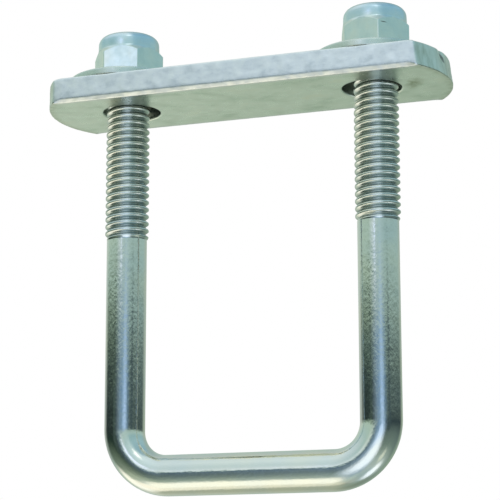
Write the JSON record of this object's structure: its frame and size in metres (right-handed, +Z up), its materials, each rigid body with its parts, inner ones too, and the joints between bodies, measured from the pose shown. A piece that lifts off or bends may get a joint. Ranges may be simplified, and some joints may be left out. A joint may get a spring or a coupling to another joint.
{
  "type": "square u-bolt clamp",
  "caption": "Square U-bolt with a flat backing plate, washers and nylon-insert lock nuts, for clamping a fitting to a square beam.",
  "frame": {"origin": "middle of the crossbar's inner face, where the clamped beam seats", "axes": "+Z up the two studs towards the plate and the nuts, X along the crossbar from the left leg to the right leg, Y along the clamped beam"},
  "size_m": [0.1018, 0.0286, 0.1163],
  "materials": {
    "zinc_bar": "bright zinc plating, semi-gloss",
    "zinc_plate": "bright zinc plating over rolled flat bar, satin",
    "zinc_washer": "bright zinc plating over stamped steel, satin",
    "zinc_nut": "bright zinc plating, semi-gloss",
    "nylon": "natural nylon"
  },
  "bodies": {
    "u_bolt": {"u_bolt": "zinc_bar"},
    "plate": {"backing_plate": "zinc_plate"},
    "left_washer": {"washer_left": "zinc_washer"},
    "right_washer": {"washer_right": "zinc_washer"},
    "left_nut": {"lock_nut_left": "zinc_nut", "insert_left": "nylon"},
    "right_nut": {"lock_nut_right": "zinc_nut", "insert_right": "nylon"}
  },
  "joints": [
    {"name": "plate_slide", "type": "slide", "parent": "u_bolt", "child": "plate", "axis": [0, 0, 1], "range_m": [-0.0381, 0]},
    {"name": "left_nut_spin", "type": "hinge", "parent": "plate", "child": "left_nut", "pos_m": [-0.03195, 0, 0.0943], "axis": [0, 0, 1], "range_deg": [-7560, 0]},
    {"name": "right_nut_spin", "type": "hinge", "parent": "plate", "child": "right_nut", "pos_m": [0.03195, 0, 0.0943], "axis": [0, 0, 1], "range_deg": [-7560, 0]},
    {"name": "left_washer_spin", "type": "hinge", "parent": "plate", "child": "left_washer", "pos_m": [-0.03265, 0, 0.09265], "axis": [0, 0, 1], "continuous": true},
    {"name": "right_washer_spin", "type": "hinge", "parent": "plate", "child": "right_washer", "pos_m": [0.03125, 0, 0.09265], "axis": [0, 0, 1], "continuous": true}
  ],
  "couplings": [
    {"joint": "left_nut_spin", "follows": "plate_slide", "rad_per_m": 3463.1},
    {"joint": "right_nut_spin", "follows": "plate_slide", "rad_per_m": 3463.1}
  ]
}
